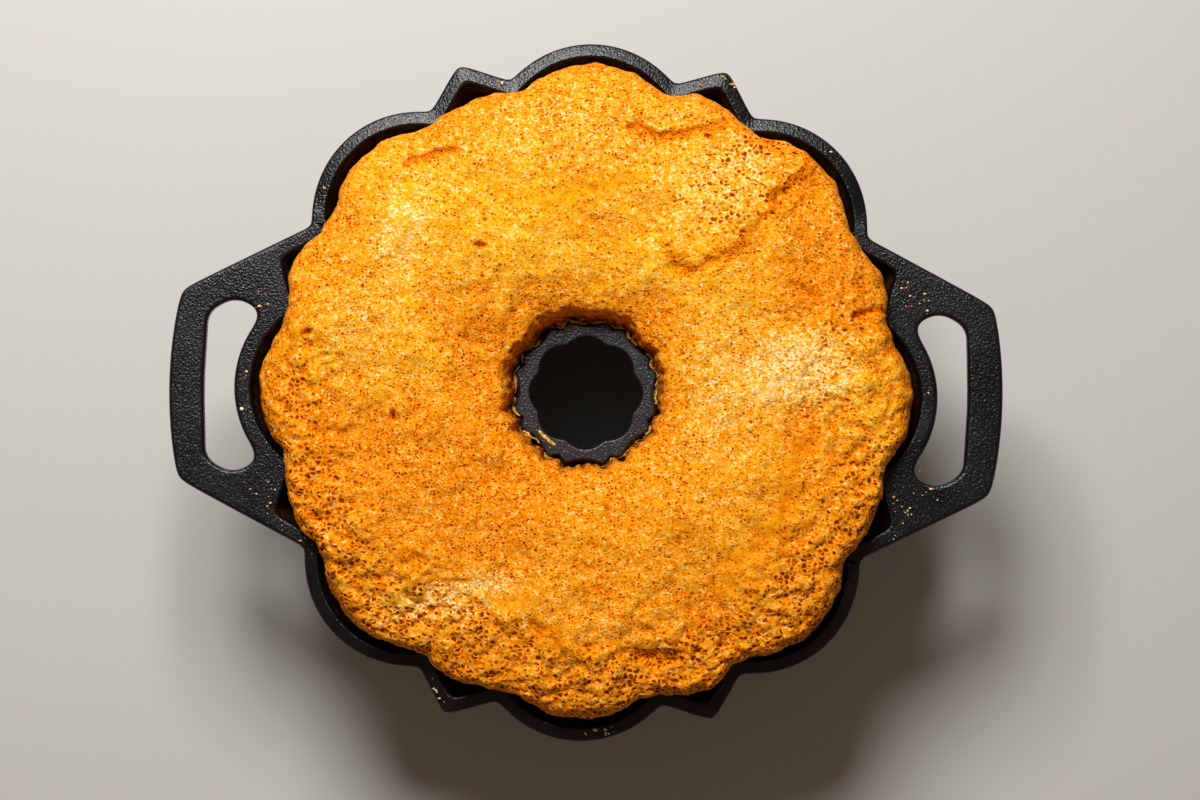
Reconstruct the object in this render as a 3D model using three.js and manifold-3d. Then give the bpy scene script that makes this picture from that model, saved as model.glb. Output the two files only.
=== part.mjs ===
// A ring cake baked in a fluted cast iron tube pan with two loop handles.
// Millimetres, +Z up. The origin is on the table under the pan's axis, and +X runs through a handle.
import * as THREE from "three";
import { mergeVertices } from "three/addons/utils/BufferGeometryUtils.js";
import Module from "manifold-3d";

const wasm = await Module();
wasm.setup();

// ---- Driving dimensions ----
const RIM_HEIGHT = 105; // table to the flat top of the rim and handles
const RIM_BAND = 5.9; // width of the flat band round the cavity's mouth
const WALL = 4.6; // thickness of the casting
const PLATE = 7; // thickness of the rim band and the handles

// Round flutes alternate with pointed ones, eight of each.
const FLUTE_PAIRS = 8;
const HALF_PITCH = Math.PI / FLUTE_PAIRS; // from a round flute's crest to a pointed one's
const RIM_RADIUS = 142.2; // axis to the rim's outer edge on a round flute
const ROUND_FLUTE_RADIUS = 42.6; // of that flute's arc
const ROUND_FLUTE_CENTRE = RIM_RADIUS - ROUND_FLUTE_RADIUS;
const POINT_FACE_DISTANCE = 109.7; // axis to the flat faces of a pointed flute
const POINT_FACE_TURN = THREE.MathUtils.degToRad(40.5); // from the flute's axis to its face's normal
const POINT_ROUNDING = 0.015; // radians over which the point is blunted
const RIDGE_TURN = THREE.MathUtils.degToRad(15); // round flute's crest to the ridge beside it
const RIDGE_BLEND = 1.6; // softening of the ridge

// Handles: plates in line with the rim, with a gap for the fingers.
const HANDLE_REACH = 170; // axis to the middle of the grip
const GRIP_BOW = 188; // radius of the grip's outer edge
const HANDLE_SPREAD = THREE.MathUtils.degToRad(30); // half the angle that a handle takes up at the axis
const HANDLE_CORNER = 3; // softening of the corner between the side and the grip
const GAP_CLEAR = 1.2; // between the rim's outer edge and the gap
const GAP_INNER_HALF = 23.5; // half the length of the gap's edge along the rim
const GAP_CORNERS = [
  { x: 133.0, y: 30.6, round: 6 },
  { x: 144.0, y: 36.0, round: 6 },
  { x: 154.8, y: 29.8, round: 5 },
]; // past the end of that edge, on the +Y side
const GRIP_INSIDE = 156; // axis to the middle of the gap's far edge

// The cavity in section, from the rim down to the bottom and up to the tube.
const FLOOR_RADIUS = 80;
const FLOOR_HEIGHT = 7;
const TUBE_RADIUS = 27.2; // of the tube's outside at its top, between the ridges
const TUBE_HEIGHT = 103;
const TUBE_FLUTE_SHARE = 0.24; // flute depth at the tube, as a share of that at the rim
const FLOOR_FLUTE_SHARE = 0.5;
const BORE_RADIUS = 23.4; // of the tube's hole at its top
const BORE_FLUTE_SHARE = 0.06;
const FOOT_HALF_WIDTH = 11; // of the flat ring that the pan stands on

// The cake fills the cavity, has shrunk from the wall near the rim, and rises in a ring above it.
const CAKE_GAP = 0.4; // between the cake and the iron where they touch
const ROUND_SHRINK = 2.8; // gap at the rim on the round flutes, beside CAKE_GAP
const POINT_SHRINK = 5; // and on the pointed ones
const WALL_SHRINK_SHARE = 0.2; // of the section, from the rim down, over which the gap opens
const TUBE_SHRINK = 4.5; // gap at the top of the tube
const TUBE_SHRINK_SHARE = 0.12;
const CROWN_RISE = 20; // rim to the crest of the ring
const CROWN_SHARPNESS = 2.4;
const CROWN_FULLNESS = 0.55;
const LIP_RADIUS = 32.4; // inner edge of the crown, round the tube
const LIP_RISE = 1;
const SWELLS = [
  { rise: 1.6, waves: 2, turn: 0.6 },
  { rise: 1.1, waves: 5, turn: -1.1 },
  { rise: 0.7, waves: 9, turn: 2.0 },
]; // slow rises and dips round the ring

// ---- Resolution ----
const SEGMENTS = 96;
const SECTION_SHARES = [0, 0.08, 0.18, 0.28, 0.37, 0.46, 0.54, 0.63, 0.72, 0.82, 0.92, 1];
const CROWN_SHARES = [0.015, 0.08, 0.22, 0.45, 0.7, 0.9, 0.98]; // of the way from the cake's edge to its lip

const IRON = new THREE.MeshStandardMaterial({ color: 0x2b2a2c, roughness: 0.55, metalness: 0.6 });
const CRUST = new THREE.MeshStandardMaterial({ color: 0xe09a34, roughness: 0.85, metalness: 0 });

// ---- Outline of the flutes ----

const ringTurns = [...Array(SEGMENTS).keys()].map((i) => (2 * Math.PI * i) / SEGMENTS);

// Angle to the crest of the nearest round flute.
function turnFromRound(angle) {
  return Math.abs(THREE.MathUtils.euclideanModulo(angle + HALF_PITCH, 2 * HALF_PITCH) - HALF_PITCH);
}

// Polar radius of the fluted outline, inset from the rim's outer edge.
function outline(angle, inset) {
  const fromRound = turnFromRound(angle);
  const across = ROUND_FLUTE_CENTRE * Math.sin(fromRound);
  const along = Math.sqrt(Math.max((ROUND_FLUTE_RADIUS - inset) ** 2 - across ** 2, 0));
  const round = ROUND_FLUTE_CENTRE * Math.cos(fromRound) + along;
  const fromPoint = Math.hypot(HALF_PITCH - fromRound, POINT_ROUNDING);
  const point = (POINT_FACE_DISTANCE - inset) / Math.cos(fromPoint - POINT_FACE_TURN);
  return (round + point + Math.hypot(round - point, RIDGE_BLEND)) / 2;
}

// How far the cavity's wall stands inside the crest of the round flutes at the rim.
function fluteDepth(angle) {
  return outline(0, RIM_BAND) - outline(angle, RIM_BAND);
}

// Polar radius of the rim with its handles. A handle's sides carry on the faces of the pointed flutes beside it.
function plateOutline(angle) {
  const fromHandle = Math.abs(THREE.MathUtils.euclideanModulo(angle + Math.PI / 2, Math.PI) - Math.PI / 2);
  const sideTurn = HALF_PITCH + POINT_FACE_TURN;
  const side = POINT_FACE_DISTANCE / Math.cos(fromHandle - sideTurn);
  const bowCentre = HANDLE_REACH - GRIP_BOW;
  const grip =
    bowCentre * Math.cos(fromHandle) + Math.sqrt(GRIP_BOW ** 2 - (bowCentre * Math.sin(fromHandle)) ** 2);
  const handle = (side + grip - Math.hypot(side - grip, HANDLE_CORNER)) / 2;
  return Math.max(outline(angle, 0), handle);
}

// ---- Section of the cavity ----

const outerWall = new THREE.CubicBezierCurve(
  new THREE.Vector2(RIM_RADIUS - RIM_BAND, RIM_HEIGHT),
  new THREE.Vector2(125, 60),
  new THREE.Vector2(113, FLOOR_HEIGHT),
  new THREE.Vector2(FLOOR_RADIUS, FLOOR_HEIGHT),
);
const tubeWall = new THREE.CubicBezierCurve(
  new THREE.Vector2(FLOOR_RADIUS, FLOOR_HEIGHT),
  new THREE.Vector2(53, FLOOR_HEIGHT),
  new THREE.Vector2(41, 55),
  new THREE.Vector2(TUBE_RADIUS, TUBE_HEIGHT),
);

// The section at share s: 0 at the rim, 0.5 on the floor, 1 at the top of the tube. It is moved by
// `offset` into the cavity, square to the wall. `push` is the way the flutes' ridges rise.
function sectionAt(s, offset) {
  const curve = s < 0.5 ? outerWall : tubeWall;
  const t = s < 0.5 ? 2 * s : 2 * s - 1;
  const place = curve.getPoint(t);
  const tangent = curve.getTangent(t);
  const share = s < 0.5
    ? THREE.MathUtils.lerp(1, FLOOR_FLUTE_SHARE, 2 * s)
    : THREE.MathUtils.lerp(FLOOR_FLUTE_SHARE, TUBE_FLUTE_SHARE, 2 * s - 1);
  return {
    radius: place.x + tangent.y * offset,
    height: place.y - tangent.x * offset,
    share,
    push: new THREE.Vector2(-Math.cos(Math.PI * s), Math.sin(Math.PI * s)),
  };
}

// ---- Solids ----

// A closed ring from rows of (radius, height). A row's place(angle) gives its point at that angle.
function ring(rows) {
  const start = rows.map((row) => {
    const { radius, height } = row(0);
    return new THREE.Vector2(radius, height);
  });
  const geometry = new THREE.LatheGeometry([...start, start[0]], SEGMENTS);
  const position = geometry.getAttribute("position");
  const perTurn = rows.length + 1;
  for (let i = 0; i < position.count; i++) {
    const angle = (2 * Math.PI * (Math.floor(i / perTurn) % SEGMENTS)) / SEGMENTS;
    const { radius, height } = rows[(i % perTurn) % rows.length](angle);
    position.setXYZ(i, radius * Math.cos(angle), radius * Math.sin(angle), height);
  }
  return geometry;
}

function solidOf(geometry) {
  geometry.deleteAttribute("normal");
  geometry.deleteAttribute("uv");
  const merged = mergeVertices(geometry, 1e-3);
  return new wasm.Manifold(
    new wasm.Mesh({
      numProp: 3,
      vertProperties: new Float32Array(merged.getAttribute("position").array),
      triVerts: new Uint32Array(merged.index.array),
    }),
  );
}

function geometryOf(solid) {
  const { vertProperties, triVerts } = solid.getMesh();
  const geometry = new THREE.BufferGeometry();
  geometry.setAttribute("position", new THREE.BufferAttribute(vertProperties, 3));
  geometry.setIndex(new THREE.BufferAttribute(triVerts, 1));
  geometry.computeVertexNormals();
  return geometry;
}

// A row of the casting: the section's place at s, with the flutes' ridges pushed into the cavity.
function flutedRow(s, offset) {
  const at = sectionAt(s, offset);
  return (angle) => {
    const ridge = at.share * fluteDepth(angle);
    return { radius: at.radius + at.push.x * ridge, height: at.height + at.push.y * ridge };
  };
}

function panShell() {
  const inside = SECTION_SHARES.map((s) => flutedRow(s, 0));
  const bore = (angle) => ({ radius: BORE_RADIUS + BORE_FLUTE_SHARE * fluteDepth(angle), height: TUBE_HEIGHT });
  const outside = SECTION_SHARES.slice(1, -1).reverse().map((s) => {
    const at = sectionAt(s, -WALL);
    const standsOnTable = Math.abs(at.radius - FLOOR_RADIUS) < FOOT_HALF_WIDTH;
    return standsOnTable ? () => ({ radius: at.radius, height: 0 }) : flutedRow(s, -WALL);
  });
  const lip = (angle) => ({ radius: outline(angle, RIM_BAND - WALL), height: RIM_HEIGHT });
  return solidOf(ring([...inside, bore, ...outside, lip]));
}

// The gap for the fingers, on the +X handle.
function fingerGap() {
  const innerRadius = ROUND_FLUTE_RADIUS + GAP_CLEAR;
  const innerTurn = Math.asin(GAP_INNER_HALF / innerRadius);
  const innerEnd = new THREE.Vector2(ROUND_FLUTE_CENTRE + innerRadius * Math.cos(innerTurn), GAP_INNER_HALF);
  const corners = [
    ...GAP_CORNERS,
    { x: GRIP_INSIDE, y: 0, round: 8 },
    ...GAP_CORNERS.map(({ x, y, round }) => ({ x, y: -y, round })).reverse(),
  ];
  const stops = [innerEnd, ...corners.map(({ x, y }) => new THREE.Vector2(x, y)), innerEnd.clone().setY(-innerEnd.y)];
  const gap = new THREE.Path();
  gap.absarc(ROUND_FLUTE_CENTRE, 0, innerRadius, -innerTurn, innerTurn, false);
  corners.forEach(({ round }, i) => {
    const [before, corner, after] = stops.slice(i, i + 3);
    const from = corner.clone().lerp(before, round / corner.distanceTo(before));
    const to = corner.clone().lerp(after, round / corner.distanceTo(after));
    gap.lineTo(from.x, from.y);
    gap.quadraticCurveTo(corner.x, corner.y, to.x, to.y);
  });
  return gap.getPoints(3);
}

// The flat plate of the rim band and both handles.
function rimPlate() {
  const loop = (turns, radiusAt) =>
    turns.map((a) => new THREE.Vector2(radiusAt(a) * Math.cos(a), radiusAt(a) * Math.sin(a)));
  const handleTurns = ringTurns.filter((a) => Math.abs(Math.cos(a)) > Math.cos(HANDLE_SPREAD));
  const halfStep = Math.PI / SEGMENTS;
  const turns = [...ringTurns, ...handleTurns.map((a) => a + halfStep)].sort((a, b) => a - b);
  const gap = fingerGap();
  const plate = new THREE.Shape(loop(turns, plateOutline));
  plate.holes = [
    new THREE.Path(loop(ringTurns, (a) => outline(a, RIM_BAND - WALL / 2))),
    new THREE.Path(gap),
    new THREE.Path(gap.map(({ x, y }) => new THREE.Vector2(-x, -y))),
  ];
  const geometry = new THREE.ExtrudeGeometry(plate, { depth: PLATE, bevelEnabled: false, curveSegments: 4 });
  geometry.translate(0, 0, RIM_HEIGHT - PLATE);
  return solidOf(geometry);
}

function castPan() {
  const pan = new THREE.Mesh(geometryOf(panShell().add(rimPlate())), IRON);
  pan.name = "cast_iron_pan";
  return pan;
}

// How far the cake has shrunk from the wall at the rim. It still meets the ridges between the flutes.
function shrinkage(angle) {
  const valley = outline(RIDGE_TURN, RIM_BAND);
  const most = turnFromRound(angle) < RIDGE_TURN ? ROUND_SHRINK : POINT_SHRINK;
  return Math.min(most, outline(angle, RIM_BAND) - valley);
}

function crownRow(share) {
  const arch = (1 - Math.abs(2 * share - 1) ** CROWN_SHARPNESS) ** CROWN_FULLNESS;
  return (angle) => {
    const edge = outline(angle, RIM_BAND) - CAKE_GAP - shrinkage(angle);
    const swell = SWELLS.reduce((sum, { rise, waves, turn }) => sum + rise * Math.cos(waves * angle + turn), 0);
    return {
      radius: THREE.MathUtils.lerp(edge, LIP_RADIUS, share),
      height: RIM_HEIGHT + LIP_RISE + arch * (CROWN_RISE - LIP_RISE + swell),
    };
  };
}

function ringCake() {
  const walls = SECTION_SHARES.map((s) => {
    const row = flutedRow(s, CAKE_GAP);
    const atRim = Math.max(0, 1 - s / WALL_SHRINK_SHARE);
    const atTube = Math.max(0, 1 - (1 - s) / TUBE_SHRINK_SHARE);
    return (angle) => {
      const { radius, height } = row(angle);
      return { radius: radius - atRim * shrinkage(angle) + atTube * TUBE_SHRINK, height };
    };
  });
  const crown = CROWN_SHARES.map(crownRow).reverse();
  const cake = new THREE.Mesh(geometryOf(solidOf(ring([...walls, ...crown].reverse()))), CRUST);
  cake.name = "ring_cake";
  return cake;
}

const cakeInPan = new THREE.Group();
cakeInPan.add(castPan(), ringCake());

export default cakeInPan;
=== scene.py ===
# %% [markdown]
# # A ring cake in its fluted cast iron pan
# Two things are built here, and each gets its own shape and its own finish. The pan is one heavy
# casting with sixteen flutes, a hollow tube and two loop handles. The cake is an egg white foam that
# has risen out of it and browned. Crumbs and torn bits of crust are added last.
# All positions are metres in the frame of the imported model: the origin is on the table under the
# tube, +X runs through a handle and +Z is up. Sizes below are written in millimetres.

import math
import random

import bmesh
import bpy
import numpy as np
from mathutils import Matrix, Vector, noise


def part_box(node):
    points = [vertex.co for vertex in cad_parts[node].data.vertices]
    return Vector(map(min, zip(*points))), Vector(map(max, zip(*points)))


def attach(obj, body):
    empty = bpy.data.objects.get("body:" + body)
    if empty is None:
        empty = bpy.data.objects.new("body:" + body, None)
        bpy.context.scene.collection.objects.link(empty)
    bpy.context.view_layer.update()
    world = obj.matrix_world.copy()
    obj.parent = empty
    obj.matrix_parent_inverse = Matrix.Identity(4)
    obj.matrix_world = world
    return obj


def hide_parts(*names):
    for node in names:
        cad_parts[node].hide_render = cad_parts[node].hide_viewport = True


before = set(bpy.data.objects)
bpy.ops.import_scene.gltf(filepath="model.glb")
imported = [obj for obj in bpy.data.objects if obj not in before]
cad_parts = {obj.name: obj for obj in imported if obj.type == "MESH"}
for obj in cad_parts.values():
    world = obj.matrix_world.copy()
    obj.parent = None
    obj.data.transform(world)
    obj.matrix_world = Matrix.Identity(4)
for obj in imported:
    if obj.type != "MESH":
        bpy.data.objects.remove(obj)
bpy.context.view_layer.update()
pan_low, pan_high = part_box("cast_iron_pan")
cake_low, cake_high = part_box("ring_cake")
MM = 0.001
print("pan", [round(v / MM, 1) for v in pan_high - pan_low], "mm")
print("cake top at", round(cake_high.z / MM, 1), "mm")

# %% [markdown]
# ## Colours and nodes
# A colour picked on a screen is sRGB, but a shader adds up light, so it works in linear numbers. One
# function turns a hex value into those. A second adds a node with its settings and its links in one
# line, which keeps a material readable from top to bottom. Sockets that share a name are given by
# number: the two colours that a Mix node blends are its inputs 6 and 7.

# %% Helpers for colour and nodes


def linear(hex_colour):
    """An sRGB hex colour as linear red, green, blue and alpha."""
    channels = [int(hex_colour[i : i + 2], 16) / 255 for i in (1, 3, 5)]
    return (*[c / 12.92 if c <= 0.04045 else ((c + 0.055) / 1.055) ** 2.4 for c in channels], 1.0)


def add_node(tree, kind, inputs=None, stops=None, **settings):
    """Adds a node. Inputs are values, sockets or nodes, and stops are the (place, colour) pairs of a ramp."""
    node = tree.nodes.new(kind)
    for name, value in settings.items():
        setattr(node, name, value)
    for name, value in (inputs or {}).items():
        if isinstance(value, bpy.types.Node):
            value = next(output for output in value.outputs if output.enabled)
        if isinstance(value, bpy.types.NodeSocket):
            tree.links.new(value, node.inputs[name])
        else:
            node.inputs[name].default_value = value
    if stops:
        ramp = node.color_ramp.elements
        while len(ramp) < len(stops):
            ramp.new(0.5)
        for element, (place, colour) in zip(ramp, stops):
            element.position, element.color = place, colour
    return node


def grey(value):
    return (value, value, value, 1.0)


def new_material(name):
    material = bpy.data.materials.new(name)
    material.use_nodes = True
    tree = material.node_tree
    tree.nodes.clear()
    output = tree.nodes.new("ShaderNodeOutputMaterial")
    shader = tree.nodes.new("ShaderNodeBsdfPrincipled")
    tree.links.new(shader.outputs["BSDF"], output.inputs["Surface"])
    return material, tree, shader


def per_metre(size_mm):
    """A texture's scale for a pattern that repeats about every size_mm."""
    return 1 / (size_mm * MM)


def step(value, low, high):
    """0 below low and 1 above high, with a smooth rise between them."""
    t = np.clip((value - low) / (high - low), 0, 1)
    return t * t * (3 - 2 * t)


# %% [markdown]
# ## The outline of the flutes
# Eight round flutes alternate with eight pointed ones. Seen from above, a round flute is an arc and a
# pointed one is two straight faces, so the rim is whichever of the two stands further out at each
# angle. A little blending between them makes the soft ridge that a sand mould leaves.

# %% Outline

RIM = pan_high.z / MM
HALF_PITCH = math.pi / 8
RIM_BAND = 5.9
ROUND_FLUTE_RADIUS = 42.6
RIM_RADIUS = pan_high.y / MM
ROUND_FLUTE_CENTRE = RIM_RADIUS - ROUND_FLUTE_RADIUS
POINT_FACE_DISTANCE = 109.7
POINT_FACE_TURN = math.radians(40.5)
POINT_ROUNDING = 0.015
RIDGE_TURN = math.radians(15)
RIDGE_BLEND = 2.2


def turn_from_round(angle):
    """Angle to the middle of the nearest round flute."""
    return np.abs((angle + HALF_PITCH) % (2 * HALF_PITCH) - HALF_PITCH)


def outline(angle, inset, blend=RIDGE_BLEND):
    """Distance from the axis to the fluted outline, inset from the rim's outer edge."""
    from_round = turn_from_round(angle)
    across = ROUND_FLUTE_CENTRE * np.sin(from_round)
    along = np.sqrt(np.maximum((ROUND_FLUTE_RADIUS - inset) ** 2 - across**2, 0))
    round_flute = ROUND_FLUTE_CENTRE * np.cos(from_round) + along
    from_point = np.hypot(HALF_PITCH - from_round, POINT_ROUNDING)
    point = (POINT_FACE_DISTANCE - inset) / np.cos(from_point - POINT_FACE_TURN)
    return (round_flute + point + np.hypot(round_flute - point, blend)) / 2


def flute_depth(angle, blend=RIDGE_BLEND):
    """How far the wall stands inside the crest of the round flutes, at the rim."""
    return outline(0.0, RIM_BAND) - outline(angle, RIM_BAND, blend)


print("ridge between flutes at", round(float(outline(RIDGE_TURN, RIM_BAND)), 1), "mm from the axis")

# %% [markdown]
# ## The section of the pan
# Cut through the axis, the cavity is two smooth curves: down the outer wall to the floor, and up the
# tube. Flutes fade along them, deep at the rim and shallow at the tube. A point of the section also
# knows which way the flutes' ridges rise, so that the same rule shapes the iron and the cake in it.

# %% Section

FLOOR_RADIUS, FLOOR_HEIGHT = 80.0, 7.0
TUBE_RADIUS, TUBE_HEIGHT = 27.2, 103.0
OUTER_WALL = [(RIM_RADIUS - RIM_BAND, RIM), (125, 60), (113, FLOOR_HEIGHT), (FLOOR_RADIUS, FLOOR_HEIGHT)]
TUBE_WALL = [(FLOOR_RADIUS, FLOOR_HEIGHT), (53, FLOOR_HEIGHT), (41, 55), (TUBE_RADIUS, TUBE_HEIGHT)]
FLOOR_FLUTE_SHARE, TUBE_FLUTE_SHARE = 0.5, 0.23
TUBE_BLEND = 7.5  # the ridges are rounder where they reach the tube
WALL = 4.6


def bezier(points, t):
    a, b, c, d = (np.array(p, float) for p in points)
    place = a * (1 - t) ** 3 + 3 * b * t * (1 - t) ** 2 + 3 * c * t * t * (1 - t) + d * t**3
    slope = (b - a) * (1 - t) ** 2 + 2 * (c - b) * t * (1 - t) + (d - c) * t * t
    return place, slope / np.linalg.norm(slope)


def section_row(share, offset):
    """A row at a share of the section: 0 at the rim, 0.5 on the floor, 1 at the tube's top."""
    if share < 0.5:
        (radius, height), slope = bezier(OUTER_WALL, 2 * share)
        depth_share = 1 + (FLOOR_FLUTE_SHARE - 1) * 2 * share
    else:
        (radius, height), slope = bezier(TUBE_WALL, 2 * share - 1)
        depth_share = FLOOR_FLUTE_SHARE + (TUBE_FLUTE_SHARE - FLOOR_FLUTE_SHARE) * (2 * share - 1)
    push = depth_share * np.array([-math.cos(math.pi * share), math.sin(math.pi * share)])
    blend = RIDGE_BLEND + (TUBE_BLEND - RIDGE_BLEND) * share

    def row(angle):
        depth = flute_depth(angle, blend)
        return radius + slope[1] * offset + push[0] * depth, height - slope[0] * offset + push[1] * depth

    return row


# %% [markdown]
# ## Rings of points
# The bowl and the cake are both closed rings, so one function skins them from rows of points. Rows
# may have different counts. That keeps the triangles of the cake's top nearly equal from its wide
# edge to its narrow lip, where a plain grid would crowd them together.

# %% Skin a ring


def ring_points(rows, counts):
    """Points of every row, in mm, with the start of each row in the list."""
    points, starts = [], [0]
    for row, count in zip(rows, counts):
        angle = np.linspace(0, 2 * math.pi, count, endpoint=False)
        radius, height = row(angle)
        ones = np.ones(count)
        points.append(np.stack([radius * np.cos(angle), radius * np.sin(angle), height * ones], 1))
        starts.append(starts[-1] + count)
    return np.concatenate(points), starts


def stitch(a_start, a_count, b_start, b_count):
    """Faces between two neighbouring rows. Equal rows get quads, and others get triangles."""
    if a_count == b_count:
        return [
            (a_start + i, a_start + (i + 1) % a_count, b_start + (i + 1) % a_count, b_start + i)
            for i in range(a_count)
        ]
    faces, i, j = [], 0, 0
    while i < a_count or j < b_count:
        a, b = a_start + i % a_count, b_start + j % b_count
        if j >= b_count or (i < a_count and (i + 1) * b_count <= (j + 1) * a_count):
            faces.append((a, a_start + (i + 1) % a_count, b))
            i += 1
        else:
            faces.append((a, b_start + (j + 1) % b_count, b))
            j += 1
    return faces


def ring_mesh(name, rows, counts):
    points, starts = ring_points(rows, counts)
    faces = []
    for k in range(len(rows)):
        after = (k + 1) % len(rows)
        faces += stitch(starts[k], counts[k], starts[after], counts[after])
    mesh = bpy.data.meshes.new(name)
    mesh.from_pydata((points * MM).tolist(), [], faces)
    mesh.validate()
    shape = bmesh.new()
    shape.from_mesh(mesh)
    if shape.calc_volume(signed=True) < 0:
        mesh.flip_normals()
    shape.free()
    print(name, len(mesh.vertices), "points,", sum(len(f) - 2 for f in faces), "triangles")
    return mesh


def new_piece(name, mesh):
    piece = bpy.data.objects.new(name, mesh)
    bpy.context.scene.collection.objects.link(piece)
    return piece


# %% [markdown]
# ## The bowl and its tube
# Cast iron can't hold a sharp edge: the sand rounds every corner by about a millimetre. So the rim
# and the tube's top are turned through small quarter rounds, which also catch the bright thin lines
# that show where the iron ends. The pan stands on a flat ring: the outside follows the cavity at the
# wall's thickness, and over that ring it is brought down to the table. Away from the handles the
# rim's top falls a little outwards, so its far side faces the light and is brighter than the near one.

# %% Bowl

PLATE = 7.0
EDGE_ROUND = 1.3
RIM_SLOPE = 1.2  # the rim's top falls by this much towards the outside, away from the handles
HANDLE_BLEND = (math.radians(31), math.radians(36))
TUBE_ROUND = 0.9
FILLET = 2.4
WALL_INSET = 3.9  # of the wall's outside, just under the rim
BORE_RADIUS, BORE_WAVE = 20.8, 2.2
FOOT_HALF_WIDTH = 10.0
PAN_COUNT = 512
QUARTER = np.linspace(0, math.pi / 2, 5)


def rim_row(inset, height, slope=0.0):
    def row(angle):
        from_handle = np.abs((angle + math.pi / 2) % math.pi - math.pi / 2)
        return outline(angle, inset), height - slope * step(from_handle, *HANDLE_BLEND)

    return row


def tube_row(in_from_cavity, out_from_bore, height):
    """A row of the tube's top, measured in mm from its outer or its inner edge."""

    def row(angle):
        if out_from_bore is None:
            return TUBE_RADIUS + TUBE_FLUTE_SHARE * flute_depth(angle, TUBE_BLEND) - in_from_cavity, height
        scallop = np.sqrt(np.cos(4 * angle) ** 2 + 0.01)
        return BORE_RADIUS + BORE_WAVE * scallop + out_from_bore, height

    return row


def standing_row(share):
    """A row of the outside, brought down to the table over the foot ring."""
    plain = section_row(share, -WALL)

    def row(angle):
        radius, height = plain(angle)
        foot = 1 - step(np.abs(radius - FLOOR_RADIUS), FOOT_HALF_WIDTH - 2, FOOT_HALF_WIDTH)
        return radius, height * (1 - foot)

    return row


inside = [section_row(s, 0) for s in np.linspace(0.012, 0.985, 38)]
tube_top = [tube_row(TUBE_ROUND * (1 - math.cos(t)), None, TUBE_HEIGHT - TUBE_ROUND * (1 - math.sin(t)))
            for t in QUARTER]
tube_top += [tube_row(None, TUBE_ROUND * (1 - math.sin(t)), TUBE_HEIGHT - TUBE_ROUND * (1 - math.cos(t)))
             for t in QUARTER]
up_the_tube, over_the_foot, up_the_wall = (
    np.linspace(0.965, 0.6, 14), np.linspace(0.58, 0.42, 17), np.linspace(0.4, 0.055, 14))
outside = [standing_row(s) for s in (*up_the_tube, *over_the_foot, *up_the_wall)]
under_rim = [rim_row(WALL_INSET - FILLET * (1 - math.cos(t)), RIM - PLATE - FILLET * (1 - math.sin(t)))
             for t in QUARTER]
rim_edge = [rim_row(EDGE_ROUND * (1 - math.sin(t)), RIM - PLATE + EDGE_ROUND * (1 - math.cos(t)))
            for t in QUARTER]
rim_edge += [rim_row(EDGE_ROUND * (1 - math.cos(t)), RIM - EDGE_ROUND * (1 - math.sin(t)), RIM_SLOPE)
             for t in QUARTER]
mouth = [rim_row(RIM_BAND - EDGE_ROUND * (1 - math.sin(t)), RIM - EDGE_ROUND * (1 - math.cos(t)))
         for t in QUARTER]
bowl_rows = inside + tube_top + outside + under_rim + rim_edge + mouth
bowl = new_piece("bowl_blank", ring_mesh("bowl_blank", bowl_rows, [PAN_COUNT] * len(bowl_rows)))

# %% [markdown]
# ## The handles
# Each handle is a flat plate in line with the rim, with a gap for the fingers. A 2D curve makes such
# a plate in one go: its splines give the outline and the hole, extrude gives the thickness, and bevel
# rounds all the edges. Its sides run on from the faces of the pointed flutes next to it. The loops are
# written for the +X handle and drawn through the axis, with minus signs, so a blank starts at -X: one
# stays there and the other is turned half a circle. Both are then joined to the bowl with a union, as
# the casting is one piece.

# %% Handles

HANDLE_REACH = pan_high.x / MM
GRIP_BOW = 188.0
HANDLE_CORNER = 3.0
HANDLE_SPREAD = math.radians(31.5)
HANDLE_OVERLAP = 3.2
SIDE_CLEAR = 0.25  # the plate's side covers the flute's face by this much
GAP_INNER_HALF = 23.5
GAP_INNER_RADIUS = ROUND_FLUTE_RADIUS + 1.2
GAP_CORNERS = [((133.0, 30.6), 6), ((144.0, 36.0), 6), ((154.8, 29.8), 5), ((156.0, 0.0), 8)]
HANDLE_ROUND = 1.6


def handle_outline():
    """Round the outside of the handle, as it is for +X, then back along the middle of the rim band."""
    turns = np.linspace(-HANDLE_SPREAD, HANDLE_SPREAD, 301)
    side = (POINT_FACE_DISTANCE + SIDE_CLEAR) / np.cos(np.abs(turns) - HALF_PITCH - POINT_FACE_TURN)
    bow_centre = HANDLE_REACH - GRIP_BOW
    grip = bow_centre * np.cos(turns) + np.sqrt(GRIP_BOW**2 - (bow_centre * np.sin(turns)) ** 2)
    reach = (side + grip - np.hypot(side - grip, HANDLE_CORNER)) / 2
    back = outline(turns, HANDLE_OVERLAP)[::-1]
    angle, radius = np.concatenate([turns, turns[::-1]]), np.concatenate([reach, back])
    return np.stack([radius * np.cos(angle), radius * np.sin(angle)], 1)


def finger_gap():
    """The hole: an arc beside the rim, and corners that are each rounded by a quadratic curve."""
    half_turn = math.asin(GAP_INNER_HALF / GAP_INNER_RADIUS)
    arc = [(ROUND_FLUTE_CENTRE + GAP_INNER_RADIUS * math.cos(t), GAP_INNER_RADIUS * math.sin(t))
           for t in np.linspace(-half_turn, half_turn, 25)]
    corners = GAP_CORNERS + [((x, -y), r) for (x, y), r in GAP_CORNERS[-2::-1]]
    stops = [Vector(arc[-1])] + [Vector(c) for c, _ in corners] + [Vector(arc[0])]
    points = arc
    for (before, corner, after), (_, cut) in zip(zip(stops, stops[1:], stops[2:]), corners):
        start = corner + (before - corner).normalized() * cut
        end = corner + (after - corner).normalized() * cut
        for t in np.linspace(0, 1, 9):
            points.append(tuple(start * (1 - t) ** 2 + corner * 2 * t * (1 - t) + end * t * t))
    return np.array(points)


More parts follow.
